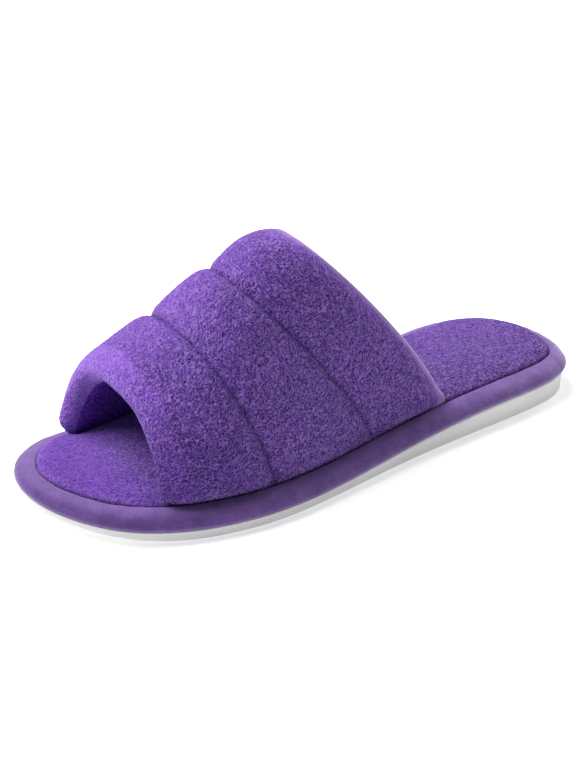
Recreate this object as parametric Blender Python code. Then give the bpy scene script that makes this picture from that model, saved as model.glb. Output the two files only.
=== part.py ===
"""A padded scuff slipper for the left foot, standing empty on its sole.

Metres, +Z up. The toe points to -Y and the wearer's left is +X. The floor is at Z = 0, and the
origin is under the middle of the outline. Lengths below are in millimetres and are scaled when the
meshes are made.
"""

import math

import bmesh
import bpy
import numpy as np

MM = 0.001

# Air between two pieces that are sewn or glued together on the real slipper.
GAP = 0.3

# Outline of the edge band, seen from above. A row is a station along the last.
LENGTH = 265.0
HEEL_TIP_X = -0.3
TOE_TIP_X = -4.0
OUTLINE = (
    # share of the length from the heel, lateral half width, medial half width
    (0.035, 23.8, 26.8),
    (0.130, 33.0, 39.0),
    (0.280, 37.0, 36.0),
    (0.430, 41.5, 37.0),
    (0.580, 48.0, 44.5),
    (0.710, 50.5, 50.7),
    (0.850, 42.3, 42.6),
    (0.945, 26.0, 33.0),
)
POINTS_PER_SPAN = 7

# Outsole: a foam slab, flat on the floor from the heel to the ball, then lifted to the toe.
TOE_SPRING = 8.6
SPRING_START = 0.78
FOREFOOT_THICKNESS = 4.5
HEEL_THICKNESS = 10.6
TOE_TAPER = 1.4
TAPER_START = 0.80
WEDGE_THIN = 0.61
WEDGE_THICK = 0.19
SOLE_INSET = 1.5
SOLE_BOTTOM_EDGE = (
    # inset beyond the sole's side, height above the underside
    (1.2, 0.0),
    (0.3, 0.4),
    (0.0, 1.2),
)

# Edge band: a padded strip sewn round the footbed. Its section runs from the inner foot outwards.
BAND_WIDTH = 8.7
BAND_HEIGHT = 7.4
BAND_SECTION = (
    # distance in from the outline, height above the outsole
    (BAND_WIDTH, GAP),
    (5.0, GAP),
    (1.5, GAP),
    (0.4, 1.1),
    (0.0, 2.4),
    (0.4, 3.8),
    (1.5, 5.1),
    (3.1, 6.2),
    (5.0, 6.9),
    (7.0, 7.3),
    (BAND_WIDTH, BAND_HEIGHT),
)

# Insole: a padded footbed inside the band, with plump edges and a low crown.
CREASE_HEIGHT = 7.2
INSOLE_INSET = BAND_WIDTH + GAP
INSOLE_EDGE_DROP = 0.6
INSOLE_SHOULDER = 3.0
INSOLE_SHOULDER_WIDTH = 5.0
INSOLE_CROWN = 2.2
INSOLE_CROWN_REACH = 24.0
INSOLE_EDGE_LOOPS = (0.5, 1.6, 3.2, 5.2)
INSOLE_COLUMNS = 8

# Upper: arches over the foot, each a line across the quilting, from the front edge to the back.
ARCHES = (
    # lateral foot y, medial foot y, crown y, crown z
    (-86.5, -99.0, -88.7, 51.2),
    (-46.0, -44.5, -67.5, 66.5),
    (5.0, 4.0, -47.5, 85.5),
    (44.5, 44.5, -17.5, 95.8),
)
ARCH_SQUARENESS = 2.84
ARCH_LEAN = 0.87
ARCH_ROWS = 42

# Quilting: padding stands out between the seams. The places count arches from the front edge.
FRONT_PUFF = 4.4
MEDIAL_EXTRA = 3.2
MIDDLE_PUFF = 2.6
REAR_PUFF = 2.6
REAR_PUFF_SKEW = 1.4
PUFF_ROUNDNESS = 0.6
FRONT_LINING_DEPTH = 5.6
SEAM_LINING_DEPTH = 4.0
REAR_LINING_DEPTH = 3.0
CHANNEL_SHARES = (0.0, 0.08, 0.25, 0.5, 0.75, 0.92)

# Lower margins of the upper, pinched and sewn down between the band and the insole.
MARGIN_INSET = BAND_WIDTH + 0.5
MARGIN_THICKNESS = 2.4
PINCH_HEIGHT = 9.0
MARGIN_ROOM = 6.5
SEAT_INSET = MARGIN_INSET + MARGIN_THICKNESS + GAP + 0.1

FRONT_ROLL_STEPS = 5
REAR_ROLL_STEPS = 3

SHARP_ANGLE = math.radians(50.0)


class Surface:
    """Vertices and faces of one closed piece, gathered row by row."""

    def __init__(self):
        self.vertices = []
        self.faces = []

    def add_row(self, places):
        first = len(self.vertices)
        self.vertices.extend(tuple(place) for place in places)
        return list(range(first, len(self.vertices)))

    def join_rings(self, ring, following):
        """Quads between two closed rows of the same length."""
        for i in range(len(ring)):
            j = (i + 1) % len(ring)
            self.faces.append((ring[i], ring[j], following[j], following[i]))

    def join_strips(self, row, following):
        """Quads between two open rows of the same length."""
        for i in range(len(row) - 1):
            self.faces.append((row[i], row[i + 1], following[i + 1], following[i]))

    def fill_ring(self, ring, columns, height):
        """Close a ring round the last with strips across it, from the heel tip to the toe tip."""
        half = len(ring) // 2
        rows = []
        for i in range(1, half):
            left = np.array(self.vertices[ring[i]])
            right = np.array(self.vertices[ring[-i]])
            inner = []
            for column in range(1, columns):
                place = left + (right - left) * column / columns
                place[2] = height(place[0], place[1])
                inner.append(place)
            rows.append([ring[i]] + self.add_row(inner) + [ring[-i]])
        for row, following in zip(rows, rows[1:]):
            self.join_strips(row, following)
        for tip, row in ((ring[0], rows[0]), (ring[half], rows[-1])):
            for i in range(columns):
                self.faces.append((tip, row[i], row[i + 1]))

    def make_object(self, name, material):
        mesh = bpy.data.meshes.new(name)
        scaled = [tuple(value * MM for value in place) for place in self.vertices]
        mesh.from_pydata(scaled, [], self.faces)
        shell = bmesh.new()
        shell.from_mesh(mesh)
        bmesh.ops.recalc_face_normals(shell, faces=shell.faces)
        shell.to_mesh(mesh)
        shell.free()
        mesh.shade_smooth()
        mesh.set_sharp_from_angle(angle=SHARP_ANGLE)
        mesh.materials.append(material)
        piece = bpy.data.objects.new(name, mesh)
        bpy.context.collection.objects.link(piece)
        return piece


def make_material(name, colour, roughness):
    material = bpy.data.materials.new(name)
    material.use_nodes = True
    shader = material.node_tree.nodes["Principled BSDF"]
    shader.inputs["Base Color"].default_value = (*colour, 1.0)
    shader.inputs["Roughness"].default_value = roughness
    shader.inputs["Metallic"].default_value = 0.0
    return material


def ease(share):
    share = np.clip(share, 0.0, 1.0)
    return share * share * (3.0 - 2.0 * share)


def closed_curve(points, per_span):
    """Places and outward normals along a smooth closed curve through the given points."""
    points = np.array(points)
    count = len(points)
    steps = np.roll(points, -1, axis=0) - points
    spans = np.sqrt(np.linalg.norm(steps, axis=1))
    before = np.roll(spans, 1)
    matrix = np.zeros((count, count))
    for i in range(count):
        matrix[i, i - 1] += before[i]
        matrix[i, i] += 2.0 * (before[i] + spans[i])
        matrix[i, (i + 1) % count] += spans[i]
    chords = steps / spans[:, None]
    bends = np.linalg.solve(matrix, 6.0 * (chords - np.roll(chords, 1, axis=0)))
    places = []
    normals = []
    for i in range(count):
        j = (i + 1) % count
        for step in range(per_span):
            b = step / per_span
            a = 1.0 - b
            sway = (a ** 3 - a) * bends[i] + (b ** 3 - b) * bends[j]
            turn = (3.0 * b * b - 1.0) * bends[j] - (3.0 * a * a - 1.0) * bends[i]
            places.append(a * points[i] + b * points[j] + spans[i] ** 2 / 6.0 * sway)
            along = chords[i] + spans[i] / 6.0 * turn
            along /= np.linalg.norm(along)
            normals.append((-along[1], along[0]))
    return np.array(places), np.array(normals)


def last_outline():
    """The outline from the heel tip, down the lateral side to the toe and back."""
    lateral = [(wide, (0.5 - share) * LENGTH) for share, wide, _ in OUTLINE]
    medial = [(-wide, (0.5 - share) * LENGTH) for share, _, wide in OUTLINE]
    heel_tip = [(HEEL_TIP_X, 0.5 * LENGTH)]
    toe_tip = [(TOE_TIP_X, -0.5 * LENGTH)]
    return closed_curve(heel_tip + lateral + toe_tip + medial[::-1], POINTS_PER_SPAN)


PLACES, NORMALS = last_outline()


def inset_ring(inset):
    """The outline moved in by one distance, or by one distance a point."""
    distances = np.broadcast_to(inset, len(PLACES))
    return PLACES - NORMALS * distances[:, None]


def underside(y):
    share = 0.5 - y / LENGTH
    lift = np.clip((share - SPRING_START) / (1.0 - SPRING_START), 0.0, None)
    return TOE_SPRING * lift ** 2


def sole_top(y):
    share = 0.5 - y / LENGTH
    wedge = ease((WEDGE_THIN - share) / (WEDGE_THIN - WEDGE_THICK))
    taper = ease((share - TAPER_START) / (1.0 - TAPER_START))
    thickness = FOREFOOT_THICKNESS + (HEEL_THICKNESS - FOREFOOT_THICKNESS) * wedge - TOE_TAPER * taper
    return underside(y) + thickness


def ring_places(ring, height):
    """A ring's points in space, with a height for each y."""
    return [(x, y, height(y)) for x, y in ring]


def build_outsole(material):
    sole = Surface()
    rings = []
    for inset, rise in SOLE_BOTTOM_EDGE:
        ring = inset_ring(SOLE_INSET + inset)
        rings.append(sole.add_row(ring_places(ring, lambda y, rise=rise: underside(y) + rise)))
    rings.append(sole.add_row(ring_places(inset_ring(SOLE_INSET), sole_top)))
    for ring, following in zip(rings, rings[1:]):
        sole.join_rings(ring, following)
    sole.fill_ring(rings[0], 4, lambda x, y: underside(y))
    sole.fill_ring(rings[-1], 4, lambda x, y: sole_top(y))
    return sole.make_object("outsole", material)


def build_edge_band(material):
    band = Surface()
    rings = []
    for inset, rise in BAND_SECTION:
        places = ring_places(inset_ring(inset), lambda y, rise=rise: sole_top(y) + rise)
        rings.append(band.add_row(places))
    for ring, following in zip(rings, rings[1:] + rings[:1]):
        band.join_rings(ring, following)
    return band.make_object("edge_band", material)


def insole_insets():
    """The insole's edge, drawn in along the upper so that the sewn margins have their seat."""
    insets = []
    front, _, _, back = ARCHES
    for (x, y), (across, _) in zip(PLACES, NORMALS):
        first, last = (front[0], back[0]) if x > 0.0 else (front[1], back[1])
        seated = first - MARGIN_ROOM < y < last + MARGIN_ROOM
        insets.append(SEAT_INSET if seated else INSOLE_INSET)
    return np.array(insets)


def build_insole(material):
    insets = insole_insets()
    edge = inset_ring(insets)

    def top(x, y):
        inwards = np.min(np.hypot(edge[:, 0] - x, edge[:, 1] - y))
        falling = 1.0 - min(inwards / INSOLE_SHOULDER_WIDTH, 1.0)
        shoulder = INSOLE_SHOULDER * math.sqrt(1.0 - falling ** 2)
        reach = min(inwards / INSOLE_CROWN_REACH, 1.0)
        crown = INSOLE_CROWN * reach * (2.0 - reach)
        return sole_top(y) + CREASE_HEIGHT - INSOLE_EDGE_DROP + shoulder + crown

    footbed = Surface()
    bottom = footbed.add_row(ring_places(edge, lambda y: sole_top(y) + GAP))
    side = footbed.add_row([(x, y, top(x, y)) for x, y in edge])
    footbed.join_rings(bottom, side)
    ring = side
    for extra in INSOLE_EDGE_LOOPS:
        following = footbed.add_row([(x, y, top(x, y)) for x, y in inset_ring(insets + extra)])
        footbed.join_rings(ring, following)
        ring = following
    footbed.fill_ring(bottom, 4, lambda x, y: sole_top(y) + GAP)
    footbed.fill_ring(ring, INSOLE_COLUMNS, top)
    return footbed.make_object("insole", material)


def smooth_column(column):
    """One column of the table of arches as a smooth function of the place along the upper."""
    values = [row[column] for row in ARCHES]
    return np.poly1d(np.polyfit(range(len(values)), values, len(values) - 1))


LATERAL_FOOT, MEDIAL_FOOT, CROWN_Y, CROWN_Z = (smooth_column(column) for column in range(4))


def foot_of_arch(y, lateral):
    """Where an arch meets the crease between the band and the insole."""
    ring = inset_ring(MARGIN_INSET)
    half = len(ring) // 2
    side = ring[:half + 1] if lateral else ring[half:]
    order = np.argsort(side[:, 1])
    x = np.interp(y, side[order, 1], side[order, 0])
    return np.array((x, y, sole_top(y) + CREASE_HEIGHT))


def feet_of_arch(place):
    lateral = foot_of_arch(LATERAL_FOOT(place), True)
    medial = foot_of_arch(MEDIAL_FOOT(place), False)
    return lateral, medial


def blend_of_feet(lateral, medial, cosine):
    """The level of the crease under a point of an arch."""
    return lateral * (1.0 + cosine) / 2.0 + medial * (1.0 - cosine) / 2.0


def arch_point(place, angle):
    """A point at seam level. The angle runs from 0 at the lateral foot to pi at the medial one."""
    lateral, medial = feet_of_arch(place)
    cosine = math.cos(angle)
    sine = max(math.sin(angle), 0.0)
    foot = blend_of_feet(lateral, medial, cosine)
    middle = (lateral[0] + medial[0]) / 2.0
    half = (lateral[0] - medial[0]) / 2.0
    x = middle + half * math.copysign(abs(cosine) ** (2.0 / ARCH_SQUARENESS), cosine)
    y = foot[1] + (CROWN_Y(place) - foot[1]) * sine ** ARCH_LEAN
    z = foot[2] + (CROWN_Z(place) - foot[2]) * sine ** (2.0 / ARCH_SQUARENESS)
    return np.array((x, y, z))


def arch_angles():
    """Angles that space the rows evenly over the middle of the upper."""
    fine = np.linspace(0.0, math.pi, 721)
    middle = (len(ARCHES) - 1) / 2.0
    points = np.array([arch_point(middle, angle) for angle in fine])
    steps = np.linalg.norm(np.diff(points, axis=0), axis=1)
    walked = np.concatenate(([0.0], np.cumsum(steps)))
    return np.interp(np.linspace(0.0, walked[-1], ARCH_ROWS), walked, fine)


def puff(place, angle):
    """How far the padding stands out above the seam level, most of all at the front edge."""
    if place <= 1.0:
        height = FRONT_PUFF + MEDIAL_EXTRA * ease(0.5 - math.cos(angle)) * (1.0 - place)
        return height * (1.0 - place ** 3) ** PUFF_ROUNDNESS
    if place <= 2.0:
        return MIDDLE_PUFF * math.sin(math.pi * (place - 1.0)) ** PUFF_ROUNDNESS
    share = min(place - 2.0, 1.0) ** REAR_PUFF_SKEW
    return REAR_PUFF * max(math.sin(math.pi * share), 0.0) ** PUFF_ROUNDNESS


def lining_depth(place):
    """How far the lining lies under the seam level."""
    last = len(ARCHES) - 1
    front = (FRONT_LINING_DEPTH - SEAM_LINING_DEPTH) * ease(1.0 - place)
    rear = (REAR_LINING_DEPTH - SEAM_LINING_DEPTH) * ease(place - last + 1.0)
    return SEAM_LINING_DEPTH + front + rear


def wall_places():
    """Places along the upper, closer together at the seams."""
    channels = range(len(ARCHES) - 1)
    places = [channel + share for channel in channels for share in CHANNEL_SHARES]
    return places + [len(ARCHES) - 1.0]


def surface_frame(place, angle):
    """A point of the seam level with its outward normal and its direction towards the heel."""
    small = 0.01
    near_edge = min(max(angle, small), math.pi - small)
    point = arch_point(place, angle)
    along = arch_point(place + small, near_edge) - arch_point(place - small, near_edge)
    across = arch_point(place, near_edge + small) - arch_point(place, near_edge - small)
    normal = np.cross(along, across)
    normal /= np.linalg.norm(normal)
    return point, normal, along / np.linalg.norm(along)


def half_roll(centre, radius, outwards, ahead, steps):
    """Points round the rolled edge, from just past the outside to just before the lining."""
    points = []
    for step in range(1, steps):
        turn = math.pi * step / steps
        points.append(centre + radius * (math.cos(turn) * outwards + math.sin(turn) * ahead))
    return points


def wall_section(angle):
    """One closed row of the upper's wall: outside, rear edge, lining, rolled front edge."""
    outside = []
    lining = []
    edges = []
    for place in wall_places():
        point, normal, along = surface_frame(place, angle)
        foot = blend_of_feet(*feet_of_arch(place), math.cos(angle))
        pinch = math.sin(min((point[2] - foot[2]) / PINCH_HEIGHT, 1.0) * math.pi / 2.0)
        rise = puff(place, angle) * pinch
        depth = MARGIN_THICKNESS + (lining_depth(place) - MARGIN_THICKNESS) * pinch
        outside.append(point + rise * normal)
        lining.append(point - depth * normal)
        edges.append((point + (rise - depth) / 2.0 * normal, (rise + depth) / 2.0, normal, along))
    centre, radius, normal, along = edges[-1]
    rear = half_roll(centre, radius, normal, along, REAR_ROLL_STEPS)
    centre, radius, normal, along = edges[0]
    front = half_roll(centre, radius, -normal, -along, FRONT_ROLL_STEPS)
    return outside + rear + lining[::-1] + front


def margin_section(section):
    """The sewn margin's lower edge, straight under a foot row and just above the outsole."""
    return [np.array((x, y, sole_top(y) + GAP)) for x, y, _ in section]


def cap_margin(upper, row, outside_count):
    """Close the lower edge of a margin with quads across the wall."""
    rear_end = outside_count + REAR_ROLL_STEPS - 1
    outside = row[:outside_count]
    lining = row[rear_end:rear_end + outside_count][::-1]
    upper.join_strips(outside, lining)
    upper.faces.append(tuple(row[outside_count - 1:rear_end + 1]))
    upper.faces.append(tuple(row[rear_end + outside_count - 1:] + row[:1]))


def build_upper(material):
    upper = Surface()
    sections = [wall_section(angle) for angle in arch_angles()]
    sections = [margin_section(sections[0])] + sections + [margin_section(sections[-1])]
    rows = [upper.add_row(section) for section in sections]
    for row, following in zip(rows, rows[1:]):
        upper.join_rings(row, following)
    for row in (rows[0], rows[-1]):
        cap_margin(upper, row, len(wall_places()))
    return upper.make_object("upper", material)


def clear_scene():
    for item in list(bpy.data.objects):
        bpy.data.objects.remove(item, do_unlink=True)


def main():
    clear_scene()
    build_outsole(make_material("white_foam", (0.80, 0.80, 0.80), 0.60))
    build_edge_band(make_material("violet_velour", (0.16, 0.065, 0.40), 0.85))
    build_insole(make_material("violet_terry_footbed", (0.15, 0.055, 0.38), 0.95))
    build_upper(make_material("violet_terry", (0.14, 0.050, 0.37), 0.95))


main()
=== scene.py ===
"""The looks of a padded scuff slipper: terry upper and footbed, velour edge and foam sole."""

import itertools
import math

import bmesh
import bpy
import numpy as np
from mathutils import Matrix, Vector


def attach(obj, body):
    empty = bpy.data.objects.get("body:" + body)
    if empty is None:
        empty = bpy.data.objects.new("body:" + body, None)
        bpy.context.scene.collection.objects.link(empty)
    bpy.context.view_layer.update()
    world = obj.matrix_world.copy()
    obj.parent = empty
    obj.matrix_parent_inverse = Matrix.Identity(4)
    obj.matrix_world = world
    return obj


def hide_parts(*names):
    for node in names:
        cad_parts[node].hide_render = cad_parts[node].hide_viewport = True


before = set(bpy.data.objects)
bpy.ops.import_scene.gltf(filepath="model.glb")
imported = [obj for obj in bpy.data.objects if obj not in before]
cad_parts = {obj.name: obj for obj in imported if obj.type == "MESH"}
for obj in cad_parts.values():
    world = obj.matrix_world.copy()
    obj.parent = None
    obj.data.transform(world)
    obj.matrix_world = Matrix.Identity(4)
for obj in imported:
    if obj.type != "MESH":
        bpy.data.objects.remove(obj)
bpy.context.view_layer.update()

# Tables and sizes are in millimetres and are scaled when the meshes are made.
MM = 0.001
BODY = "root"

# Camera: the photograph's angle to the slipper.
CAMERA_AZIMUTH = math.radians(57.49)
CAMERA_ELEVATION = math.radians(28.0)
CAMERA_ROLL = math.radians(1.10)
CAMERA_DISTANCE = 609.0
CAMERA_TARGET = (-78.4, 35.4, -21.1)
FOCAL_PIXELS = 1202.8
IMAGE_HEIGHT = 768.0
SENSOR = 36.0

# Outline of the edge band, seen from above.
GAP = 0.3
LENGTH = 265.0
HEEL_TIP_X = -0.3
TOE_TIP_X = -4.0
OUTLINE = (
    # share of the length from the heel, lateral half width, medial half width
    (0.035, 23.8, 26.8),
    (0.130, 33.0, 39.0),
    (0.280, 37.0, 36.0),
    (0.430, 41.5, 37.0),
    (0.580, 48.0, 44.5),
    (0.710, 50.5, 50.7),
    (0.850, 42.3, 42.6),
    (0.945, 26.0, 33.0),
)

# Outsole.
TOE_SPRING = 8.6
SPRING_START = 0.78
FOREFOOT_THICKNESS = 4.5
HEEL_THICKNESS = 10.6
TOE_TAPER = 1.4
TAPER_START = 0.80
WEDGE_THIN = 0.61
WEDGE_THICK = 0.19
SOLE_INSET = 1.5
SOLE_EDGE_RADIUS = 1.2
TREAD_DEPTH = 0.8
TREAD_PITCH = 6.5
TREAD_WAVE = 2.4
TREAD_WAVE_PITCH = 22.0
TREAD_BORDER = 7.0

# Edge band.
BAND_WIDTH = 8.7
BAND_SECTION = (
    # distance in from the outline, height above the outsole
    (BAND_WIDTH, GAP),
    (5.0, GAP),
    (1.5, GAP),
    (0.4, 1.1),
    (0.0, 2.4),
    (0.4, 3.8),
    (1.5, 5.1),
    (3.1, 6.2),
    (5.0, 6.9),
    (7.0, 7.3),
    (BAND_WIDTH, 7.4),
)

# Insole.
CREASE_HEIGHT = 7.2
INSOLE_INSET = BAND_WIDTH + 0.12
INSOLE_SHOULDER = 3.0
INSOLE_SHOULDER_WIDTH = 5.0
INSOLE_SHOULDER_ROUNDNESS = 0.7
INSOLE_OVERHANG = 0.3
INSOLE_CROWN = 2.2
INSOLE_CROWN_REACH = 24.0

# Upper.
ARCHES = (
    # lateral foot y, medial foot y, crown y, crown z
    (-86.5, -99.0, -88.7, 51.2),
    (-46.0, -44.5, -67.5, 66.5),
    (5.0, 4.0, -47.5, 85.5),
    (44.5, 44.5, -17.5, 95.8),
)
ARCH_SQUARENESS = 2.84
ARCH_LEAN = 0.87
FRONT_PUFF = 4.4
MEDIAL_EXTRA = 3.2
MIDDLE_PUFF = 2.6
REAR_PUFF = 2.6
REAR_PUFF_SKEW = 1.4
PUFF_ROUNDNESS = 0.6
FRONT_LINING_DEPTH = 5.6
SEAM_LINING_DEPTH = 4.0
REAR_LINING_DEPTH = 3.0
MARGIN_INSET = BAND_WIDTH + 0.5
MARGIN_THICKNESS = 2.4
PINCH_HEIGHT = 9.0
MARGIN_ROOM = 6.5
SEAT_INSET = MARGIN_INSET + MARGIN_THICKNESS + GAP + 0.1

LATERAL_PINCH_HEIGHT = 6.0
MEDIAL_PINCH_HEIGHT = 9.0
NOSE_REACH = 0.2

# Seams: a groove that the thread pulls in, with small puckers beside it.
SEAM_DEPTH = 0.7
SEAM_WIDTH = 1.6
SEAM_LINE_WIDTH = 0.8
SEAM_FLATTENING = 0.6
PUCKER_HEIGHT = 0.3
PUCKER_CELL = 5.0
PUCKER_REACH = 7.0

# Terry: loops stand up in short winding ridges.
LOOP_CELL = 1.25
LOOP_HEIGHT = 0.45
LOOP_MIDDLE = 0.6
LOOP_RIDGE_CELL = 1.15
FOOTBED_LOOP_HEIGHT = 0.35
SOFTNESS_CELL = 17.0
SOFTNESS_HEIGHT = 0.45

# Rear binding: a velour strip turned over the rear edge.
BINDING_REACH = 3.6
BINDING_STAND = 0.7
BINDING_SHIFT = -1.2
BINDING_FLARE = 0.5
BINDING_FLARE_HEIGHT = 9.0
BINDING_SOFT_CELL = 9.0
BINDING_SOFT_HEIGHT = 0.12

# Soft unevenness of the band and small gathers in its cloth.
BAND_SOFT_CELL = 14.0
BAND_SOFT_HEIGHT = 0.2
BAND_GATHER_CELL = 4.5
BAND_GATHER_HEIGHT = 0.14

# How the terry's shading is put together. Weights are shares of the ramp from gap to tip.
RIDGE_SHARPNESS = 8.0
RIDGE_MIDDLE = 0.45
RIDGE_WEIGHT = 0.58
PILE_MIDDLE = 0.55
PILE_WEIGHT = 0.38
TERRY_LEVEL = 0.42
FIBRE_CELL = 0.5
FIBRE_WEIGHT = 0.20
FLAT_SMOOTHING = 0.72
SEAM_DARKENING = 0.25
PAINTED_SHADING_WEIGHT = 0.20
PATCH_CELL = 14.0
VELOUR_PATCH_CELL = 7.0
VELOUR_STREAK_CELL = 0.8
FOAM_CLOUD_CELL = 25.0
FOAM_SKIN_CELL = 0.6
TERRY_BUMP = 1.05
LINING_BUMP = 0.5
VELOUR_BUMP = 0.30
FOAM_BUMP = 0.06

# Colours.
# TERRY_GAP is painted shade between the loops and TERRY_TIP a painted highlight on their tops.
TERRY_GAP = (0.046, 0.010, 0.172)
TERRY_BODY = (0.154, 0.047, 0.425)
TERRY_TIP = (0.345, 0.194, 0.600)
TERRY_SHEEN = (0.80, 0.66, 1.0)
PATCH_DARK = (0.92, 0.92, 0.92)
PATCH_LIGHT = (1.06, 1.06, 1.06)
# Painted light where the loops lie flat; the footbed's number is negative, a slight painted shade.
COVER_FLAT_PAINTED_LIGHT = 0.12
FOOTBED_FLAT_PAINTED_LIGHT = -0.03
# The footbed's terry is a darker copy of the cover's terry: painted shade.
FOOTBED_PAINTED_SHADE = 0.90
# The plush's dark colour lies between its loops as painted shade, and its light colour on them as painted
# light.
LINING_DARK = (0.050, 0.014, 0.200)
LINING_LIGHT = (0.250, 0.092, 0.660)
BAND_DARK = (0.090, 0.041, 0.188)
BAND_LIGHT = (0.184, 0.101, 0.325)
BINDING_DARK = (0.190, 0.100, 0.340)
BINDING_LIGHT = (0.310, 0.185, 0.510)
VELOUR_SHEEN = (0.80, 0.68, 1.0)
FOAM_DARK = (0.68, 0.68, 0.69)
FOAM_LIGHT = (0.74, 0.74, 0.74)

# How flat the terry is brushed, from 0 to 1, and between which places or millimetres it gets so.
FRONT_BRUSHED = 0.35
FRONT_BRUSHED_PLACES = (0.30, 0.0)
REAR_BRUSHED = 0.6
REAR_BRUSHED_PLACES = (2.72, 3.0)
MEDIAL_BRUSHED = 0.6
MEDIAL_BRUSHED_X = (30.0, -16.0)
FOOTBED_BRUSHED_X = (20.0, -30.0)
FOOTBED_BRUSHED_Y = (-70.0, -95.0)
TOE_PAD_BRUSHED = 0.9
TOE_PAD_Y = (-80.0, -106.0)

# Painted light and shade: where the cloth is painted darker or lighter, in millimetres.
COVER_PAINTED_SHADE = -0.8
COVER_PAINTED_SHADE_X = (18.0, 34.0)
COVER_PAINTED_SHADE_Y = (-46.0, -66.0)
COVER_PAINTED_SHADE_Z = (46.0, 26.0)
FOOTBED_EDGE_PAINTED_LIGHT = 0.6
FOOTBED_EDGE_REACH = (4.0, 0.0)
BAND_LIGHT_RISE = (4.8, 7.0)
BAND_PAINTED_SHADING_MIDDLE = 0.75
BAND_TOE_Y = (-70.0, -110.0)
BAND_PAINTED_SHADING_BEHIND = 0.2

# Mesh density.
UPPER_ROWS = 344
OUTSIDE_COLUMNS = 200
LINING_COLUMNS = 24
LINED_ROLL_COLUMNS = 4
NOSE_OUTER_COLUMNS = 32
NOSE_INNER_COLUMNS = 18
REAR_ROLL_COLUMNS = 6
BINDING_ROWS = 260
BINDING_SIDES = 14
INSOLE_POINTS_PER_SPAN = 50
INSOLE_STRIPS = 130
INSOLE_CROWDING = 0.25
INSOLE_BOTTOM_STRIDE = 16
BAND_POINTS_PER_SPAN = 60
BAND_SECTION_STEPS = 4
SOLE_POINTS_PER_SPAN = 32
SOLE_STRIPS = 84
SOLE_TOP_STRIPS = 8
SOLE_EDGE_STEPS = 5
SOLE_SIDE_STEPS = 6
POINTS_AT_ONCE = 8000

# Light.
LIGHTS = (
    # name, place in metres, size in metres, watts
    ("key", (-0.80, -0.70, 1.50), 1.7, 61.0),
    ("back", (-0.3, 1.2, 0.9), 0.8, 6.0),
)
WORLD_STRENGTH = 0.24
FLOOR_GLOW = 0.42
FLOOR_REACH = 6.0


def ease(share):
    share = np.clip(share, 0.0, 1.0)
    return share * share * (3.0 - 2.0 * share)


def between(value, limits):
    """0 at the first limit and 1 at the second, and smooth in between."""
    first, second = limits
    return ease((value - first) / (second - first))


def lattice_noise(points, seed=0):
    """Smooth noise of about -1 to 1 at points that are counted in cells."""
    cells = np.floor(points).astype(np.int64)
    part = points - cells
    blend = part ** 3 * (part * (part * 6.0 - 15.0) + 10.0)
    total = np.zeros(len(points))
    for corner in itertools.product((0, 1), repeat=3):
        node = cells + np.array(corner)
        mixed = node[:, 0] * 73856093 ^ node[:, 1] * 19349663 ^ node[:, 2] * 83492791 ^ seed * 9176
        slope = np.zeros(len(points))
        for axis in range(3):
            mixed = (mixed ^ (mixed >> 13)) * 1274126177 & 0x7FFFFFFF
            slope += ((mixed >> 8 & 0xFFFF) / 32767.5 - 1.0) * (part[:, axis] - corner[axis])
        weight = np.prod(np.where(np.array(corner) == 1, blend, 1.0 - blend), axis=1)
        total += weight * slope
    return total * 1.6


def terry(points, cell, seed=1):
    """Height of the loops from 0 in the gaps to 1 on the ridges."""
    warp = np.stack([lattice_noise(points / (cell * 2.6), seed + 3 + k) for k in range(3)], axis=1)
    bent = points / cell + 0.9 * warp
    ridges = 1.0 - np.abs(lattice_noise(bent, seed)) * 2.2
    fine = 1.0 - np.abs(lattice_noise(bent * 1.9 + 7.3, seed + 1)) * 2.2
    return np.clip(0.68 * ridges + 0.32 * fine, 0.0, 1.0)


def closed_curve(points, per_span):
    """Places and outward normals along a smooth closed curve through the given points."""
    points = np.array(points)
    count = len(points)
    steps = np.roll(points, -1, axis=0) - points
    spans = np.sqrt(np.linalg.norm(steps, axis=1))
    before = np.roll(spans, 1)
    matrix = np.zeros((count, count))
    for i in range(count):
        matrix[i, i - 1] += before[i]
        matrix[i, i] += 2.0 * (before[i] + spans[i])
        matrix[i, (i + 1) % count] += spans[i]
    chords = steps / spans[:, None]
    bends = np.linalg.solve(matrix, 6.0 * (chords - np.roll(chords, 1, axis=0)))
    places = []
    normals = []
    for i in range(count):
        j = (i + 1) % count
        for step in range(per_span):
            b = step / per_span
            a = 1.0 - b
            sway = (a ** 3 - a) * bends[i] + (b ** 3 - b) * bends[j]
            turn = (3.0 * b * b - 1.0) * bends[j] - (3.0 * a * a - 1.0) * bends[i]
            places.append(a * points[i] + b * points[j] + spans[i] ** 2 / 6.0 * sway)
            along = chords[i] + spans[i] / 6.0 * turn
            along /= np.linalg.norm(along)
            normals.append((-along[1], along[0]))
    return np.array(places), np.array(normals)


def last_outline(per_span):
    """The outline from the heel tip, down the lateral side to the toe and back."""
    lateral = [(wide, (0.5 - share) * LENGTH) for share, wide, _ in OUTLINE]
    medial = [(-wide, (0.5 - share) * LENGTH) for share, _, wide in OUTLINE]
    heel_tip = [(HEEL_TIP_X, 0.5 * LENGTH)]
    toe_tip = [(TOE_TIP_X, -0.5 * LENGTH)]
    return closed_curve(heel_tip + lateral + toe_tip + medial[::-1], per_span)


def underside(y):
    share = 0.5 - y / LENGTH
    lift = np.clip((share - SPRING_START) / (1.0 - SPRING_START), 0.0, None)
    return TOE_SPRING * lift ** 2


def sole_top(y):
    share = 0.5 - y / LENGTH
    wedge = ease((WEDGE_THIN - share) / (WEDGE_THIN - WEDGE_THICK))
    taper = ease((share - TAPER_START) / (1.0 - TAPER_START))
    thickness = FOREFOOT_THICKNESS + (HEEL_THICKNESS - FOREFOOT_THICKNESS) * wedge - TOE_TAPER * taper
    return underside(y) + thickness


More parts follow.
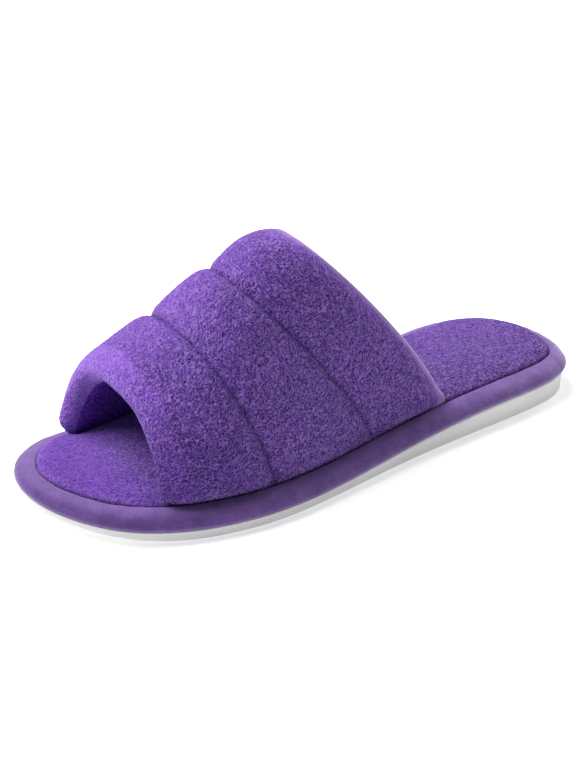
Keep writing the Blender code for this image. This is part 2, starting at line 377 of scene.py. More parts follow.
def grid_faces(rows, columns, closed_rows=False, closed_columns=False):
    """Quads over a grid of points that is stored row by row."""
    i = np.arange(rows if closed_rows else rows - 1)
    j = np.arange(columns if closed_columns else columns - 1)
    i, j = (part.ravel() for part in np.meshgrid(i, j, indexing="ij"))
    after_i = (i + 1) % rows
    after_j = (j + 1) % columns
    corners = (i * columns + j, i * columns + after_j, after_i * columns + after_j, after_i * columns + j)
    return np.stack(corners, axis=1).tolist()


def make_piece(name, points, faces, material, values=None, inner=None):
    """A smooth mesh piece on the slipper's body, with one number a point for each named value.

    inner is a second material and the numbers of the faces that it covers.
    """
    mesh = bpy.data.meshes.new(name)
    mesh.from_pydata((np.asarray(points) * MM).tolist(), [], faces)
    shell = bmesh.new()
    shell.from_mesh(mesh)
    bmesh.ops.recalc_face_normals(shell, faces=shell.faces)
    shell.to_mesh(mesh)
    shell.free()
    mesh.shade_smooth()
    for key, numbers in (values or {}).items():
        layer = mesh.attributes.new(key, "FLOAT", "POINT")
        layer.data.foreach_set("value", np.asarray(numbers, dtype=np.float32))
    mesh.materials.append(material)
    if inner:
        mesh.materials.append(inner[0])
        for number in inner[1]:
            mesh.polygons[number].material_index = 1
    piece = bpy.data.objects.new(name, mesh)
    bpy.context.collection.objects.link(piece)
    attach(piece, BODY)
    return piece


class Nodes:
    """Short names for building a material's nodes."""

    def __init__(self, name):
        self.material = bpy.data.materials.new(name)
        self.material.use_nodes = True
        self.tree = self.material.node_tree
        self.shader = self.tree.nodes["Principled BSDF"]
        self.place = self.add("ShaderNodeTexCoord").outputs["Object"]

    def add(self, kind, **settings):
        node = self.tree.nodes.new(kind)
        for key, value in settings.items():
            setattr(node, key, value)
        return node

    def link(self, source, target):
        self.tree.links.new(source, target)

    def noise(self, cell, detail=2.0, roughness=0.5):
        """Noise of 0 to 1 with features of about one cell, in millimetres."""
        node = self.add("ShaderNodeTexNoise")
        node.inputs["Scale"].default_value = 1.0 / (cell * MM)
        node.inputs["Detail"].default_value = detail
        node.inputs["Roughness"].default_value = roughness
        self.link(self.place, node.inputs["Vector"])
        return node.outputs["Fac"]

    def value(self, name):
        node = self.add("ShaderNodeAttribute", attribute_name=name, attribute_type="GEOMETRY")
        return node.outputs["Fac"]

    def math(self, operation, first, second=None, third=None):
        node = self.add("ShaderNodeMath", operation=operation)
        for socket, source in zip(node.inputs, (first, second, third)):
            if source is None:
                continue
            if isinstance(source, (int, float)):
                socket.default_value = source
            else:
                self.link(source, socket)
        return node.outputs["Value"]

    def ridges(self, cell):
        """Thin winding ridges: 1 on a ridge and 0 between them."""
        away = self.math("ABSOLUTE", self.math("SUBTRACT", self.noise(cell, 1.0), 0.5))
        falling = self.math("SUBTRACT", 1.0, self.math("MULTIPLY", away, RIDGE_SHARPNESS))
        return self.math("MAXIMUM", falling, 0.0)

    def ramp(self, factor, *stops):
        node = self.add("ShaderNodeValToRGB")
        while len(node.color_ramp.elements) < len(stops):
            node.color_ramp.elements.new(0.5)
        for element, (place, colour) in zip(node.color_ramp.elements, stops):
            element.position = place
            element.color = (*colour, 1.0)
        self.link(factor, node.inputs["Fac"])
        return node.outputs["Color"]

    def mix(self, factor, first, second, kind="MIX"):
        node = self.add("ShaderNodeMix", data_type="RGBA", blend_type=kind)
        colours = [socket for socket in node.inputs if socket.type == "RGBA"]
        for socket, source in zip([node.inputs["Factor"]] + colours, (factor, first, second)):
            if isinstance(source, (int, float, tuple)):
                socket.default_value = source if not isinstance(source, tuple) else (*source, 1.0)
            else:
                self.link(source, socket)
        return [socket for socket in node.outputs if socket.type == "RGBA"][0]

    def bump(self, height, distance, strength=1.0):
        """Relief in the shading, with its full height in millimetres."""
        node = self.add("ShaderNodeBump")
        node.inputs["Distance"].default_value = distance * MM
        node.inputs["Strength"].default_value = strength
        self.link(height, node.inputs["Height"])
        self.link(node.outputs["Normal"], self.shader.inputs["Normal"])

    def colour(self, source):
        self.link(source, self.shader.inputs["Base Color"])

    def finish(self, roughness, sheen, sheen_roughness, sheen_tint):
        self.shader.inputs["Roughness"].default_value = roughness
        self.shader.inputs["Sheen Weight"].default_value = sheen
        self.shader.inputs["Sheen Roughness"].default_value = sheen_roughness
        self.shader.inputs["Sheen Tint"].default_value = (*sheen_tint, 1.0)
        self.shader.inputs["Specular IOR Level"].default_value = 0.2
        return self.material


def terry_material(name, gap, body, tip, flat_painted_light):
    """Cotton loops: dark between the ridges as painted shade, pale on their tops as painted highlight,
    and smoother where the loops lie flat; flat places and the painted shading numbers add more painted
    light and shade.
    """
    nodes = Nodes(name)
    flat = nodes.value("flat")
    loops = nodes.math("SUBTRACT", nodes.ridges(LOOP_RIDGE_CELL), RIDGE_MIDDLE)
    pile = nodes.math("SUBTRACT", nodes.value("pile"), PILE_MIDDLE)
    relief = nodes.math("MULTIPLY_ADD", pile, PILE_WEIGHT, nodes.math("MULTIPLY", loops, RIDGE_WEIGHT))
    raised = nodes.math("MULTIPLY_ADD", flat, -FLAT_SMOOTHING, 1.0)
    height = nodes.math("MULTIPLY_ADD", relief, raised, TERRY_LEVEL)
    height = nodes.math("MULTIPLY_ADD", nodes.noise(FIBRE_CELL, 2.0, 0.6), FIBRE_WEIGHT, height)
    height = nodes.math("MULTIPLY_ADD", nodes.value("seam"), -SEAM_DARKENING, height)
    # Where the loops lie flat the tone is shifted: painted light on the cover, slight painted shade on
    # the footbed.
    tone = nodes.math("MULTIPLY_ADD", flat, flat_painted_light, height)
    # Painted light and shade from each piece's painted shading numbers.
    tone = nodes.math("MULTIPLY_ADD", nodes.value("painted_shading"), PAINTED_SHADING_WEIGHT, tone)
    shade = nodes.ramp(tone, (0.15, gap), (0.48, body), (0.85, tip))
    patches = nodes.ramp(nodes.noise(PATCH_CELL, 2.0), (0.3, PATCH_DARK), (0.7, PATCH_LIGHT))
    nodes.colour(nodes.mix(1.0, shade, patches, "MULTIPLY"))
    nodes.bump(height, TERRY_BUMP)
    return nodes.finish(0.95, 0.32, 0.45, TERRY_SHEEN)


def lining_material(name):
    """Dark plush inside the upper, with painted shade between its loops and painted light on them."""
    nodes = Nodes(name)
    loops = nodes.math("MULTIPLY", nodes.ridges(LOOP_RIDGE_CELL), 0.6)
    tone = nodes.math("MULTIPLY_ADD", nodes.noise(FIBRE_CELL, 2.0, 0.6), FIBRE_WEIGHT, loops)
    nodes.colour(nodes.ramp(tone, (0.10, LINING_DARK), (0.68, LINING_LIGHT)))
    nodes.bump(tone, LINING_BUMP, 0.8)
    nodes.shader.inputs["Roughness"].default_value = 0.95
    nodes.shader.inputs["Specular IOR Level"].default_value = 0.03
    return nodes.material


def velour_material(name, low, high):
    """Short brushed velour that catches the light in soft patches, with painted light and shade where the
    piece has painted shading numbers.
    """
    nodes = Nodes(name)
    patches = nodes.noise(VELOUR_PATCH_CELL, 3.0, 0.6)
    streaks = nodes.noise(VELOUR_STREAK_CELL, 3.0, 0.65)
    tone = nodes.math("MULTIPLY_ADD", streaks, 0.45, nodes.math("MULTIPLY", patches, 0.55))
    # Painted light and shade from the band's painted shading numbers.
    tone = nodes.math("MULTIPLY_ADD", nodes.value("painted_shading"), PAINTED_SHADING_WEIGHT, tone)
    nodes.colour(nodes.ramp(tone, (0.32, low), (0.68, high)))
    nodes.bump(streaks, VELOUR_BUMP, 0.7)
    return nodes.finish(0.9, 0.8, 0.45, VELOUR_SHEEN)


def foam_material(name):
    """White moulded foam with a fine skin and a little handling grey."""
    nodes = Nodes(name)
    clouds = nodes.noise(FOAM_CLOUD_CELL, 3.0)
    nodes.colour(nodes.ramp(clouds, (0.3, FOAM_DARK), (0.7, FOAM_LIGHT)))
    nodes.bump(nodes.noise(FOAM_SKIN_CELL, 3.0, 0.6), FOAM_BUMP, 0.5)
    nodes.shader.inputs["Roughness"].default_value = 0.55
    nodes.shader.inputs["Specular IOR Level"].default_value = 0.3
    return nodes.material


def column_of_arches(column):
    """One column of the table of arches as a smooth function of the place along the upper."""
    values = [row[column] for row in ARCHES]
    return np.poly1d(np.polyfit(range(len(values)), values, len(values) - 1))


LATERAL_FOOT, MEDIAL_FOOT, CROWN_Y, CROWN_Z = (column_of_arches(column) for column in range(4))


def feet_of_arches(places):
    """Where each arch meets the crease, on the lateral and on the medial side."""
    outline, normals = last_outline(24)
    ring = outline - normals * MARGIN_INSET
    half = len(ring) // 2
    feet = []
    for side, foot_y in ((ring[:half + 1], LATERAL_FOOT(places)), (ring[half:], MEDIAL_FOOT(places))):
        order = np.argsort(side[:, 1])
        x = np.interp(foot_y, side[order, 1], side[order, 0])
        feet.append(np.stack([x, foot_y, sole_top(foot_y) + CREASE_HEIGHT], axis=-1))
    return feet


def seam_surface(places, angles):
    """Points at seam level and the level of their foot.

    Rows are angles, and each may have its own places.
    """
    lateral, medial = feet_of_arches(places)
    cosine = np.cos(angles)[:, None]
    sine = np.clip(np.sin(angles), 0.0, None)[:, None]
    foot_y = lateral[..., 1] * (1.0 + cosine) / 2.0 + medial[..., 1] * (1.0 - cosine) / 2.0
    foot_z = lateral[..., 2] * (1.0 + cosine) / 2.0 + medial[..., 2] * (1.0 - cosine) / 2.0
    middle = (lateral[..., 0] + medial[..., 0]) / 2.0
    half = (lateral[..., 0] - medial[..., 0]) / 2.0
    x = middle + half * np.sign(cosine) * np.abs(cosine) ** (2.0 / ARCH_SQUARENESS)
    y = foot_y + (CROWN_Y(places) - foot_y) * sine ** ARCH_LEAN
    z = foot_z + (CROWN_Z(places) - foot_z) * sine ** (2.0 / ARCH_SQUARENESS)
    return np.stack([x, y, z], axis=2), foot_z


def even_angles(rows):
    """Angles that space the rows evenly over the middle of the upper."""
    fine = np.linspace(0.0, math.pi, 1441)
    points, _ = seam_surface(np.array([(len(ARCHES) - 1) / 2.0]), fine)
    steps = np.linalg.norm(np.diff(points[:, 0], axis=0), axis=1)
    walked = np.concatenate(([0.0], np.cumsum(steps)))
    return np.interp(np.linspace(0.0, walked[-1], rows), walked, fine)


def surface_frame(places, angles):
    """Outward normals, directions towards the heel, and millimetres for one place."""
    small = 0.01
    inside = np.clip(angles, small, math.pi - small)
    along = seam_surface(places + small, inside)[0] - seam_surface(places - small, inside)[0]
    across = seam_surface(places, inside + small)[0] - seam_surface(places, inside - small)[0]
    normals = np.cross(along, across)
    normals /= np.linalg.norm(normals, axis=2)[:, :, None]
    length = np.linalg.norm(along, axis=2)
    return normals, along / length[:, :, None], length / (2.0 * small)


def puff(places, angles):
    """How far the padding stands out above seam level."""
    medial = ease(0.5 - np.cos(angles))[:, None]
    front_height = FRONT_PUFF + MEDIAL_EXTRA * medial * (1.0 - places)
    front = front_height * np.clip(1.0 - places ** 3, 0.0, 1.0) ** PUFF_ROUNDNESS
    middle = MIDDLE_PUFF * np.abs(np.sin(math.pi * places)) ** PUFF_ROUNDNESS
    share = np.clip(places - 2.0, 0.0, 1.0) ** REAR_PUFF_SKEW
    rear = REAR_PUFF * np.clip(np.sin(math.pi * share), 0.0, None) ** PUFF_ROUNDNESS
    return np.where(places <= 1.0, front, np.where(places <= 2.0, middle, rear))


def lining_depth(places):
    """How far the lining lies under seam level."""
    last = len(ARCHES) - 1
    front = (FRONT_LINING_DEPTH - SEAM_LINING_DEPTH) * ease(1.0 - places)
    rear = (REAR_LINING_DEPTH - SEAM_LINING_DEPTH) * ease(places - last + 1.0)
    return SEAM_LINING_DEPTH + front + rear


def seam_distance(places):
    """Places from the nearest seam across the upper."""
    return np.minimum(np.abs(places - 1.0), np.abs(places - 2.0))


def wall(places, angles):
    """The upper's wall: outer points, lining points, directions to the heel and distances from a seam."""
    points, foot_z = seam_surface(places, angles)
    normals, along, spacing = surface_frame(places, angles)
    height = np.clip(points[:, :, 2] - foot_z, 0.0, None)
    inner_pinch = np.sin(np.clip(height / PINCH_HEIGHT, 0.0, 1.0) * math.pi / 2.0)
    medial = ease(0.5 - np.cos(angles))[:, None]
    outer_height = LATERAL_PINCH_HEIGHT + (MEDIAL_PINCH_HEIGHT - LATERAL_PINCH_HEIGHT) * medial
    outer_pinch = np.sin(np.clip(height / outer_height, 0.0, 1.0) * math.pi / 2.0)
    away = seam_distance(places) * spacing
    walked = np.arange(len(angles)) * (200.0 / len(angles))
    spots = np.stack([np.broadcast_to(walked[:, None] / PUCKER_CELL, away.shape), away / PUCKER_REACH,
                      np.broadcast_to(np.round(places) * 3.0 + 0.5, away.shape)], axis=-1)
    puckers = lattice_noise(spots.reshape(-1, 3), 41).reshape(away.shape)
    pulled = SEAM_DEPTH * np.exp(-(away / SEAM_WIDTH) ** 2)
    pulled += PUCKER_HEIGHT * puckers * np.exp(-away / PUCKER_REACH)
    rise = (puff(places, angles) - pulled) * outer_pinch
    depth = MARGIN_THICKNESS + (lining_depth(places) - MARGIN_THICKNESS) * inner_pinch
    outside = points + rise[:, :, None] * normals
    lining = points - depth[:, :, None] * normals
    return outside, lining, along, away


def rolled_edge(first, last, forward, steps):
    """Columns round a rolled edge from the first column of points to the last."""
    centre = (first + last) / 2.0
    out = (first - last) / 2.0
    radius = np.linalg.norm(out, axis=1)[:, None]
    columns = []
    for step in range(1, steps):
        turn = math.pi * step / steps
        columns.append(centre + math.cos(turn) * out + math.sin(turn) * radius * forward)
    return np.stack(columns, axis=1)


def front_nose(angles):
    """Columns round the plump front edge, from the lining over the tip to the outside."""
    edge = np.zeros(1)
    outside, lining, along, _ = wall(edge, angles)
    spacing = surface_frame(edge, angles)[2]
    radius = np.linalg.norm(outside - lining, axis=2) / 2.0
    turns = np.linspace(0.0, math.pi / 2.0, NOSE_OUTER_COLUMNS + 1)
    places = NOSE_REACH - (NOSE_REACH + radius / spacing) * np.sin(turns)
    beyond = np.clip(-places, 0.0, None) * spacing
    cover, inner, _, _ = wall(np.clip(places, 0.0, None), angles)
    half = (cover - inner) / 2.0
    outer = (cover + inner) / 2.0 + np.cos(turns)[:, None] * half - beyond[:, :, None] * along
    under = np.linspace(math.pi / 2.0, math.pi, NOSE_INNER_COLUMNS + 1)[1:-1]
    tip = -radius[:, :, None] * along
    half = (outside - lining) / 2.0
    inner = (outside + lining) / 2.0 + np.cos(under)[:, None] * half + np.sin(under)[:, None] * tip
    return np.concatenate([inner[:, ::-1], outer[:, :0:-1]], axis=1)


def outside_places():
    """Places of the outer columns, closer together at the seams."""
    fine = np.linspace(NOSE_REACH, len(ARCHES) - 1.0, 2001)
    density = 1.0 + 1.3 * np.exp(-(seam_distance(fine) / 0.05) ** 2)
    walked = np.concatenate(([0.0], np.cumsum((density[1:] + density[:-1]) / 2.0)))
    return np.interp(np.linspace(0.0, walked[-1], OUTSIDE_COLUMNS), walked, fine)


def build_upper(material, plush):
    angles = even_angles(UPPER_ROWS)
    outer_places = outside_places()
    inner_places = np.linspace(len(ARCHES) - 1.0, 0.0, LINING_COLUMNS)
    outside, _, along, away = wall(outer_places, angles)
    lining = wall(inner_places, angles)[1]
    rear = rolled_edge(outside[:, -1], lining[:, 0], along[:, -1], REAR_ROLL_COLUMNS)
    nose = front_nose(angles)
    grid = np.concatenate([outside, rear, lining, nose], axis=1)
    rows, columns, _ = grid.shape

    # The cover's loops and its soft unevenness, less in the seams and none on the lining.
    cover = np.zeros((rows, columns))
    cover[:, :OUTSIDE_COLUMNS] = 1.0
    inner_count = NOSE_INNER_COLUMNS - 1
    start = columns - nose.shape[1]
    cover[:, start:start + inner_count] = ease(0.4 + np.arange(inner_count) / inner_count)
    cover[:, start + inner_count:] = 1.0
    seam = np.zeros((rows, columns))
    seam[:, :OUTSIDE_COLUMNS] = np.exp(-(away / SEAM_LINE_WIDTH) ** 2)

    # The loops lie flat over the front edge, towards the rear edge and over the top and the medial side,
    # and the cover paints these flat places lighter as painted light.
    brushed = np.ones((rows, columns))
    to_rear = between(outer_places, REAR_BRUSHED_PLACES)
    to_front = between(outer_places, FRONT_BRUSHED_PLACES)
    brushed[:, :OUTSIDE_COLUMNS] = (FRONT_BRUSHED * to_front + REAR_BRUSHED * to_rear)[None, :]
    brushed[:, OUTSIDE_COLUMNS:start] = REAR_BRUSHED
    brushed[:, start:] = FRONT_BRUSHED
    x, y, z = np.moveaxis(grid, 2, 0)
    brushed = np.clip(brushed + MEDIAL_BRUSHED * between(x, MEDIAL_BRUSHED_X), 0.0, 1.0)

    # Painted shade: the cover is darker low down at the front of the lateral side.
    painted_shading = COVER_PAINTED_SHADE * between(x, COVER_PAINTED_SHADE_X) * between(y, COVER_PAINTED_SHADE_Y) * between(z, COVER_PAINTED_SHADE_Z)

    steps_i = np.gradient(grid, axis=0)
    steps_j = np.roll(grid, -1, axis=1) - np.roll(grid, 1, axis=1)
    normals = np.cross(steps_j, steps_i)
    normals /= np.linalg.norm(normals, axis=2)[:, :, None] + 1e-9
    spots = grid.reshape(-1, 3)
    loops = terry(spots, LOOP_CELL).reshape(rows, columns)
    soft = lattice_noise(spots / SOFTNESS_CELL, 5).reshape(rows, columns)
    standing = (loops - LOOP_MIDDLE) * LOOP_HEIGHT * (1.0 - SEAM_FLATTENING * seam)
    lift = (standing + SOFTNESS_HEIGHT * soft) * cover
    fade = ease(np.minimum(np.arange(rows), np.arange(rows)[::-1]) / 5.0)[:, None]
    grid = grid + normals * (lift * fade)[:, :, None]
    loops = PILE_MIDDLE + (loops - PILE_MIDDLE) * cover

    bottoms = []
    for row in (0, -1):
        bottom = grid[row].copy()
        bottom[:, 2] = sole_top(bottom[:, 1]) + GAP
        bottoms.append(bottom)
    grid = np.concatenate([bottoms[0][None], grid, bottoms[1][None]])
    rows += 2
    values = {name: np.concatenate([part[:1], part, part[-1:]]).ravel()
              for name, part in (("pile", loops), ("flat", brushed), ("seam", seam), ("painted_shading", painted_shading))}
    faces = grid_faces(rows, columns, closed_columns=True)
    faces += [list(range(columns)), list(range((rows - 1) * columns, rows * columns))]

    # The plush covers the lining and the inmost columns of the front roll.
    first = OUTSIDE_COLUMNS + REAR_ROLL_COLUMNS - 1
    last = first + LINING_COLUMNS + LINED_ROLL_COLUMNS
    inner = [row * columns + column for row in range(rows - 1) for column in range(first, last)]
    piece = make_piece("upper_terry", grid.reshape(-1, 3), faces, material, values,
                       (plush, inner))
    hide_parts("upper")


def build_binding(material):
    """The smooth bead along the rear edge, from the lateral crease over the instep to the medial one."""
    angles = even_angles(BINDING_ROWS)
    edge = np.array([len(ARCHES) - 1.0])
    outside, lining, along, _ = wall(edge, angles)
    centre = (outside[:, 0] + lining[:, 0]) / 2.0 + BINDING_SHIFT * along[:, 0]
    across = (outside[:, 0] - lining[:, 0]) / 2.0
    points, foot_z = seam_surface(edge, angles)
    flare = 1.0 + BINDING_FLARE * ease(1.0 - (points[:, :1, 2] - foot_z[:, :1]) / BINDING_FLARE_HEIGHT)
    thickness = np.linalg.norm(across, axis=1)[:, None]
    unit = across / thickness
    rings = []
    for side in range(BINDING_SIDES):
        turn = 2.0 * math.pi * side / BINDING_SIDES
        out = (thickness + BINDING_STAND) * math.cos(turn) * unit
        rings.append(centre + out + BINDING_REACH * flare * math.sin(turn) * along[:, 0])
    grid = np.stack(rings, axis=1)
    soft = lattice_noise(grid.reshape(-1, 3) / BINDING_SOFT_CELL, 8).reshape(grid.shape[:2])
    grid += unit[:, None] * (BINDING_SOFT_HEIGHT * soft)[:, :, None]
    faces = grid_faces(BINDING_ROWS, BINDING_SIDES, closed_columns=True)
    last = (BINDING_ROWS - 1) * BINDING_SIDES
    faces += [list(range(BINDING_SIDES)), list(range(last, last + BINDING_SIDES))]
    make_piece("rear_binding", grid.reshape(-1, 3), faces, material)


def nearest_edge(points, edge):
    """Distance of each point from the nearest of the edge's points in plan, and the way to it."""
    distances = []
    ways = []
    for start in range(0, len(points), POINTS_AT_ONCE):
        block = edge[None, :, :2] - points[start:start + POINTS_AT_ONCE, None, :2]
        squares = (block ** 2).sum(axis=2)
        nearest = squares.argmin(axis=1)
        rows = np.arange(len(nearest))
        distance = np.sqrt(squares[rows, nearest])
        distances.append(distance)
        ways.append(block[rows, nearest] / (distance[:, None] + 1e-6))
    return np.concatenate(distances), np.concatenate(ways)


def insole_insets(outline):
    """The insole's edge, drawn in along the upper where the sewn margins stand."""
    front, _, _, back = ARCHES
    x, y = outline[:, 0], outline[:, 1]
    first = np.where(x > 0.0, front[0], front[1])
    last = np.where(x > 0.0, back[0], back[1])
    seated = ease((y - first + MARGIN_ROOM) / 4.0) * ease((last + MARGIN_ROOM - y) / 4.0)
    return INSOLE_INSET + (SEAT_INSET - INSOLE_INSET) * seated


def build_insole(material):
    outline, normals = last_outline(INSOLE_POINTS_PER_SPAN)
    edge = outline - normals * insole_insets(outline)[:, None]
    half = len(edge) // 2
    left = edge[1:half]
    right = edge[:half:-1]
    shares = (1.0 - np.cos(np.linspace(0.0, math.pi, INSOLE_STRIPS))) / 2.0
    shares = INSOLE_CROWDING * shares + (1.0 - INSOLE_CROWDING) * np.linspace(0.0, 1.0, INSOLE_STRIPS)
    plan = left[:, None] + (right - left)[:, None] * shares[None, :, None]
    rows = len(plan)
    x, y = plan[:, :, 0], plan[:, :, 1]
    inwards, outwards = nearest_edge(plan.reshape(-1, 2), edge[::2])
    inwards = inwards.reshape(x.shape)
    falling = 1.0 - np.clip(inwards / INSOLE_SHOULDER_WIDTH, 0.0, 1.0)
    shoulder = INSOLE_SHOULDER * (1.0 - falling ** 2) ** INSOLE_SHOULDER_ROUNDNESS
    reach = np.clip(inwards / INSOLE_CROWN_REACH, 0.0, 1.0)
    crown = INSOLE_CROWN * reach * (2.0 - reach)
    z = sole_top(y) + CREASE_HEIGHT + shoulder + crown
    top = np.stack([x, y, z], axis=2)
    spots = top.reshape(-1, 3)
    loops = terry(spots, LOOP_CELL, 21).reshape(x.shape)
    soft = lattice_noise(spots / SOFTNESS_CELL, 15).reshape(x.shape)
    lift = (loops - LOOP_MIDDLE) * FOOTBED_LOOP_HEIGHT + SOFTNESS_HEIGHT * soft
    top[:, :, 2] += lift * ease(inwards / 0.6)
    overhang = INSOLE_OVERHANG * ease(inwards / 0.4) * ease(1.0 - inwards / 3.0) * (0.4 + 0.9 * loops)
    seat = ease((insole_insets(outline)[:, None] - INSOLE_INSET) / 0.5)
    free = 1.0 - np.maximum(seat[1:half], seat[:half:-1])
    top[:, :, :2] += outwards.reshape(rows, -1, 2) * (overhang * free)[:, :, None]
    low_x = x[:, ::-INSOLE_BOTTOM_STRIDE]
    low_y = y[:, ::-INSOLE_BOTTOM_STRIDE]
    bottom = np.stack([low_x, low_y, sole_top(low_y) + GAP], axis=2)
    ends = top[:, :1].copy()
    ends[:, :, 2] = sole_top(ends[:, :, 1]) + GAP
    bottom = np.concatenate([bottom, ends], axis=1)
    grid = np.concatenate([top, bottom], axis=1)
    columns = grid.shape[1]
    pile = np.full(grid.shape[:2], 0.5)
    pile[:, :INSOLE_STRIPS] = loops

    # The loops lie flat on the toe pad and the medial side, which the footbed paints a little darker as
    # painted shade, and those along the edge are painted lighter, as painted light against the shade of
    # the crease.
    brushed = between(grid[:, :, 0], FOOTBED_BRUSHED_X)
    brushed *= 0.5 + 0.5 * between(grid[:, :, 1], FOOTBED_BRUSHED_Y)
    brushed = np.maximum(brushed, TOE_PAD_BRUSHED * between(grid[:, :, 1], TOE_PAD_Y))
    faces = grid_faces(rows, columns, closed_columns=True)
    faces += [list(range(columns)), list(range((rows - 1) * columns, rows * columns))]
    from_edge, _ = nearest_edge(grid[:, :, :2].reshape(-1, 2), edge[::2])
    painted_shading = FOOTBED_EDGE_PAINTED_LIGHT * between(from_edge, FOOTBED_EDGE_REACH)
    values = {"pile": pile.ravel(), "flat": brushed.ravel(), "painted_shading": painted_shading}
    piece = make_piece("insole_terry", grid.reshape(-1, 3), faces, material, values)
    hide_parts("insole")


def build_band(material):
    outline, normals = last_outline(BAND_POINTS_PER_SPAN)
    section = []
    after = BAND_SECTION[1:] + BAND_SECTION[:1]
    for (inset, rise), (next_inset, next_rise) in zip(BAND_SECTION, after):
        for step in range(BAND_SECTION_STEPS):
            share = step / BAND_SECTION_STEPS
            section.append((inset + (next_inset - inset) * share, rise + (next_rise - rise) * share))
    section = np.array(section)
    for _ in range(3):
        relaxed = (np.roll(section, 1, axis=0) + np.roll(section, -1, axis=0)) / 2.0
        section[2:-2] = 0.5 * section[2:-2] + 0.5 * relaxed[2:-2]
    insets, rises = section[:, 0], section[:, 1]
    plan = outline[:, None] - normals[:, None] * insets[None, :, None]
    base = sole_top(plan[:, :, 1])
    grid = np.concatenate([plan, (base + rises)[:, :, None]], axis=2)
    spots = grid.reshape(-1, 3)
    soft = lattice_noise(spots / BAND_SOFT_CELL, 31).reshape(base.shape)
    gathers = lattice_noise(spots * np.array((1.0, 1.0, 0.2)) / BAND_GATHER_CELL, 32).reshape(base.shape)
    upper_side = ease((rises - 1.0) / 3.0)
    inner_side = ease((insets - 3.0) / 5.0)
    lift = BAND_SOFT_HEIGHT * soft * (1.0 - 0.6 * inner_side) + BAND_GATHER_HEIGHT * gathers
    grid[:, :, 2] += lift * upper_side
    grid[:, :, :2] += normals[:, None] * (0.4 * lift * upper_side * (1.0 - inner_side))[:, :, None]
    rows, columns = base.shape
    faces = grid_faces(rows, columns, closed_rows=True, closed_columns=True)

    # Painted light and shade: the band is lighter on top and darker on its side, most of all round the
    # toe.
    toe = between(plan[:, :, 1], BAND_TOE_Y)
    painted_shading = between(rises, BAND_LIGHT_RISE) - BAND_PAINTED_SHADING_MIDDLE
    painted_shading = painted_shading * (BAND_PAINTED_SHADING_BEHIND + (1.0 - BAND_PAINTED_SHADING_BEHIND) * toe)
    piece = make_piece("edge_band_velour", grid.reshape(-1, 3), faces, material,
                       {"painted_shading": painted_shading.ravel()})
    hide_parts("edge_band")


def tread(x, y, inwards):
    """Depth of the shallow wavy grooves under the sole."""
    wave = y + TREAD_WAVE * np.sin(2.0 * math.pi * x / TREAD_WAVE_PITCH)
    groove = ease((np.cos(2.0 * math.pi * wave / TREAD_PITCH) - 0.35) / 0.3)
    return TREAD_DEPTH * groove * ease((inwards - TREAD_BORDER) / 1.0)


def build_sole(material):
    outline, normals = last_outline(SOLE_POINTS_PER_SPAN)
    half = len(outline) // 2
    side = outline - normals * SOLE_INSET
    rings = []
    for step in range(SOLE_EDGE_STEPS + 1):
        turn = math.pi / 2.0 * step / SOLE_EDGE_STEPS
        inset = SOLE_EDGE_RADIUS * (1.0 - math.sin(turn))
        rise = SOLE_EDGE_RADIUS * (1.0 - math.cos(turn))
        ring = side - normals * inset
        rings.append(np.column_stack([ring, underside(ring[:, 1]) + rise]))
    for step in range(1, SOLE_SIDE_STEPS + 1):
        share = step / SOLE_SIDE_STEPS
        low = underside(side[:, 1]) + SOLE_EDGE_RADIUS
        rings.append(np.column_stack([side, low + (sole_top(side[:, 1]) - low) * share]))
    points = np.concatenate(rings)
    count = len(outline)
    faces = grid_faces(len(rings), count, closed_columns=True)

    def close(ring_start, strips, height):
        """Strips across one end ring, from heel to toe."""
        nonlocal points, faces
        ring = points[ring_start:ring_start + count]
        left = ring[1:half]
        right = ring[:half:-1]
        shares = np.arange(1, strips) / strips
        inner = left[:, None] + (right - left)[:, None] * shares[None, :, None]
        inner[:, :, 2] = height(inner[:, :, 0], inner[:, :, 1], ring)
        base = len(points)
        points = np.concatenate([points, inner.reshape(-1, 3)])
        index = base + np.arange(inner.shape[0] * inner.shape[1]).reshape(inner.shape[:2])
        left_index = ring_start + np.arange(1, half)
        right_index = ring_start + np.arange(count - 1, half, -1)
        index = np.concatenate([left_index[:, None], index, right_index[:, None]], axis=1)
        quads = np.stack([index[:-1, :-1], index[:-1, 1:], index[1:, 1:], index[1:, :-1]], axis=2)
        faces += quads.reshape(-1, 4).tolist()
        for tip, row in ((ring_start, index[0]), (ring_start + half, index[-1])):
            faces += [[tip, int(a), int(b)] for a, b in zip(row, row[1:])]

    def bottom_height(x, y, ring):
        inwards, _ = nearest_edge(np.stack([x, y], axis=2).reshape(-1, 2), ring[::2, :2])
        return underside(y) + tread(x, y, inwards.reshape(x.shape))

    close(0, SOLE_STRIPS, bottom_height)
    close(count * (len(rings) - 1), SOLE_TOP_STRIPS, lambda x, y, ring: sole_top(y))
    piece = make_piece("outsole_foam", points, faces, material)
    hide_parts("outsole")


def build_floor():
    mesh = bpy.data.meshes.new("floor")
    corners = [(x * FLOOR_REACH, y * FLOOR_REACH, 0.0) for x, y in ((-1, -1), (1, -1), (1, 1), (-1, 1))]
    mesh.from_pydata(corners, [], [(0, 1, 2, 3)])
    floor = bpy.data.objects.new("floor", mesh)
    bpy.context.collection.objects.link(floor)
    material = bpy.data.materials.new("floor_paint")
    material.use_nodes = True
    shader = material.node_tree.nodes["Principled BSDF"]
    shader.inputs["Base Color"].default_value = (0.9, 0.9, 0.9, 1.0)
    shader.inputs["Roughness"].default_value = 0.9
    shader.inputs["Emission Color"].default_value = (1.0, 1.0, 1.0, 1.0)
    shader.inputs["Emission Strength"].default_value = FLOOR_GLOW
    mesh.materials.append(material)


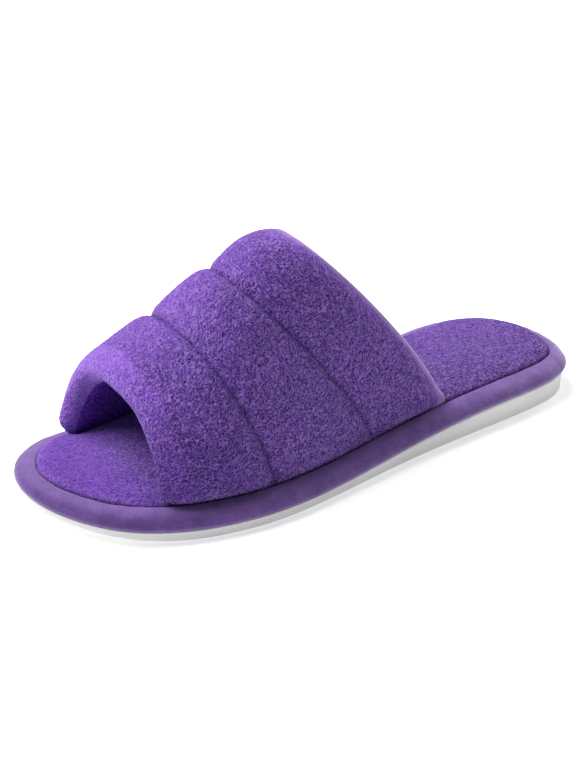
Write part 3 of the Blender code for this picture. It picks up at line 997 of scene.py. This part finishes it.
def build_light():
    for name, place, size, watts in LIGHTS:
        lamp = bpy.data.lights.new(name, "AREA")
        lamp.shape = "DISK"
        lamp.size = size
        lamp.energy = watts
        light = bpy.data.objects.new(name, lamp)
        light.location = place
        light.rotation_euler = (-Vector(place)).to_track_quat("-Z", "Y").to_euler()
        bpy.context.collection.objects.link(light)
    world = bpy.data.worlds.new("studio")
    world.use_nodes = True
    background = world.node_tree.nodes["Background"]
    background.inputs["Color"].default_value = (1.0, 1.0, 1.0, 1.0)
    background.inputs["Strength"].default_value = WORLD_STRENGTH
    bpy.context.scene.world = world
    bpy.context.scene.view_settings.view_transform = "Standard"


def build_camera():
    """A camera on the photograph's line of sight, rolled a little as the photograph is."""
    level = math.cos(CAMERA_ELEVATION)
    back = Vector((math.sin(CAMERA_AZIMUTH) * level, -math.cos(CAMERA_AZIMUTH) * level,
                   math.sin(CAMERA_ELEVATION)))
    data = bpy.data.cameras.new("camera")
    data.sensor_width = SENSOR
    data.lens = FOCAL_PIXELS * SENSOR / IMAGE_HEIGHT
    data.clip_start = 0.01
    camera = bpy.data.objects.new("camera", data)
    place = (Vector(CAMERA_TARGET) + back * CAMERA_DISTANCE) * MM
    aim = (-back).to_track_quat("-Z", "Y").to_matrix().to_4x4()
    camera.matrix_world = Matrix.Translation(place) @ aim @ Matrix.Rotation(CAMERA_ROLL, 4, "Z")
    bpy.context.collection.objects.link(camera)
    bpy.context.scene.camera = camera


def main():
    build_camera()
    build_light()
    build_floor()
    colours = (TERRY_GAP, TERRY_BODY, TERRY_TIP)
    # The footbed's colours are the cover's made darker: painted shade.
    painted_shade_colours = [tuple(FOOTBED_PAINTED_SHADE * value for value in colour) for colour in colours]
    build_sole(foam_material("foam"))
    build_band(velour_material("velour", BAND_DARK, BAND_LIGHT))
    build_insole(terry_material("terry_footbed", *painted_shade_colours, FOOTBED_FLAT_PAINTED_LIGHT))
    build_upper(terry_material("terry_cover", *colours, COVER_FLAT_PAINTED_LIGHT), lining_material("plush_lining"))
    build_binding(velour_material("binding_velour", BINDING_DARK, BINDING_LIGHT))


main()
